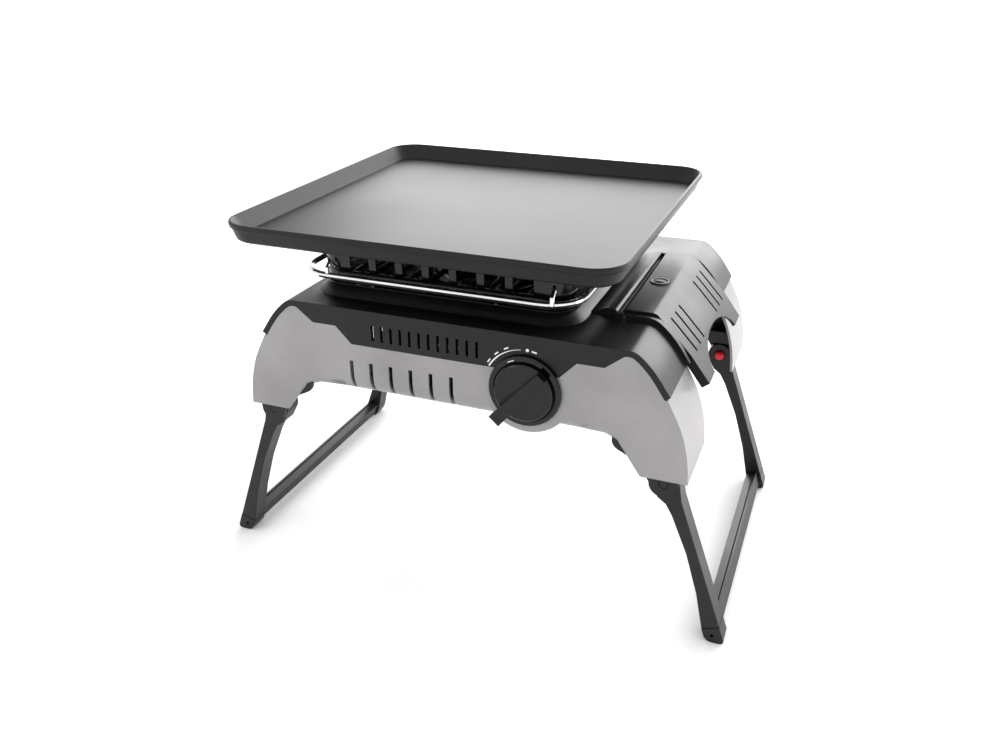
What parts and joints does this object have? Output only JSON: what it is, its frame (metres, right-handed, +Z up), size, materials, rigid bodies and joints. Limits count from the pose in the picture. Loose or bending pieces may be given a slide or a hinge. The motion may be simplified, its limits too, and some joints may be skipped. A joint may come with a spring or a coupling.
{
  "type": "portable gas camping stove",
  "caption": "Low camping stove with a lift-off flat griddle, front control knob, side cartridge bay under a hinged lid and two folding leg frames.",
  "frame": {"origin": "on the ground at the centre between the four feet", "axes": "+X towards the cartridge end, -Y towards the front with the knob, +Z up"},
  "size_m": [0.5064, 0.36, 0.3439],
  "materials": {
    "silver_paint": "silver lacquer, satin",
    "black_moulding": "satin",
    "gloss_black": "gloss",
    "nonstick_coat": "matt coating",
    "black_enamel": "gloss enamel",
    "black_leg_paint": "satin",
    "chrome_wire": "polished",
    "bright_steel": "brushed",
    "galvanised_sheet": "dull",
    "cast_burner": "cast",
    "valve_brass": "machined",
    "pipe_copper": "drawn",
    "white_ceramic": "glazed",
    "red_button": "gloss",
    "lead_sleeve": "matt"
  },
  "bodies": {
    "base": {"lower_shell": "silver_paint", "top_cover": "black_moulding", "bottom_plate": "galvanised_sheet", "burner_bracket": "galvanised_sheet", "cartridge_cradle": "galvanised_sheet", "heat_partition": "galvanised_sheet", "lid_hinge_pin_front": "bright_steel", "lid_hinge_pin_rear": "bright_steel", "burner_cap": "bright_steel", "mixer_tube": "bright_steel", "cartridge_magnet": "bright_steel", "burner_body": "cast_burner", "injector": "valve_brass", "valve_body": "valve_brass", "pressure_regulator": "valve_brass", "dial_plate": "gloss_black", "igniter_unit": "white_ceramic", "spark_electrode": "white_ceramic", "igniter_lead": "lead_sleeve", "gas_pipe": "pipe_copper", "plate_screw_1": "bright_steel", "plate_screw_2": "bright_steel", "plate_screw_3": "bright_steel", "plate_screw_4": "bright_steel", "leg_bracket_front_left": "black_leg_paint", "pivot_pin_front_left": "black_leg_paint", "leg_bracket_front_right": "black_leg_paint", "pivot_pin_front_right": "black_leg_paint", "leg_bracket_rear_left": "black_leg_paint", "pivot_pin_rear_left": "black_leg_paint", "leg_bracket_rear_right": "black_leg_paint", "pivot_pin_rear_right": "black_leg_paint"},
    "lid": {"cartridge_lid": "black_moulding", "lid_emblem": "black_moulding"},
    "knob": {"control_knob": "gloss_black", "valve_spindle": "valve_brass"},
    "left_legs": {"leg_arm_front_left": "black_leg_paint", "leg_arm_rear_left": "black_leg_paint", "foot_tip_front_left": "black_leg_paint", "foot_tip_rear_left": "black_leg_paint", "cross_bar_left": "black_leg_paint"},
    "right_legs": {"leg_arm_front_right": "black_leg_paint", "leg_arm_rear_right": "black_leg_paint", "foot_tip_front_right": "black_leg_paint", "foot_tip_rear_right": "black_leg_paint", "cross_bar_right": "black_leg_paint"},
    "tray": {"drip_tray": "black_enamel"},
    "grid": {"grate": "black_enamel"},
    "support": {"pan_support": "black_enamel", "wind_ring": "chrome_wire"},
    "griddle": {"griddle_plate": "nonstick_coat"},
    "button_front_left": {"release_button_front_left": "red_button"},
    "button_front_right": {"release_button_front_right": "red_button"},
    "button_rear_left": {"release_button_rear_left": "red_button"},
    "button_rear_right": {"release_button_rear_right": "red_button"}
  },
  "joints": [
    {"name": "lid_hinge", "type": "hinge", "parent": "base", "child": "lid", "pos_m": [0.1335, 0, 0.2735], "axis": [0, -1, 0], "range_deg": [0, 80]},
    {"name": "knob_turn", "type": "hinge", "parent": "base", "child": "knob", "pos_m": [0.068, -0.16, 0.222], "axis": [0, -1, 0], "range_deg": [0, 110]},
    {"name": "left_leg_fold", "type": "hinge", "parent": "base", "child": "left_legs", "pos_m": [-0.1895, 0, 0.155], "axis": [0, -1, 0], "range_deg": [0, 109.8]},
    {"name": "right_leg_fold", "type": "hinge", "parent": "base", "child": "right_legs", "pos_m": [0.1895, 0, 0.155], "axis": [0, 1, 0], "range_deg": [0, 109.8]},
    {"name": "press_front_left", "type": "slide", "parent": "left_legs", "child": "button_front_left", "axis": [0, -1, 0], "range_m": [0, 0.0025], "stiffness_N_per_m": 60, "springref_m": -0.002},
    {"name": "press_front_right", "type": "slide", "parent": "right_legs", "child": "button_front_right", "axis": [0, -1, 0], "range_m": [0, 0.0025], "stiffness_N_per_m": 60, "springref_m": -0.002},
    {"name": "press_rear_left", "type": "slide", "parent": "left_legs", "child": "button_rear_left", "axis": [0, 1, 0], "range_m": [0, 0.0025], "stiffness_N_per_m": 60, "springref_m": -0.002},
    {"name": "press_rear_right", "type": "slide", "parent": "right_legs", "child": "button_rear_right", "axis": [0, 1, 0], "range_m": [0, 0.0025], "stiffness_N_per_m": 60, "springref_m": -0.002},
    {"name": "tray_lift", "type": "slide", "parent": "base", "child": "tray", "axis": [0, 0, 1], "range_m": [0, 0.05]},
    {"name": "grate_lift", "type": "slide", "parent": "tray", "child": "grid", "axis": [0, 0, 1], "range_m": [0, 0.03]},
    {"name": "support_lift", "type": "slide", "parent": "grid", "child": "support", "axis": [0, 0, 1], "range_m": [0, 0.05]},
    {"name": "griddle_lift", "type": "slide", "parent": "support", "child": "griddle", "axis": [0, 0, 1], "range_m": [0, 0.08]}
  ]
}
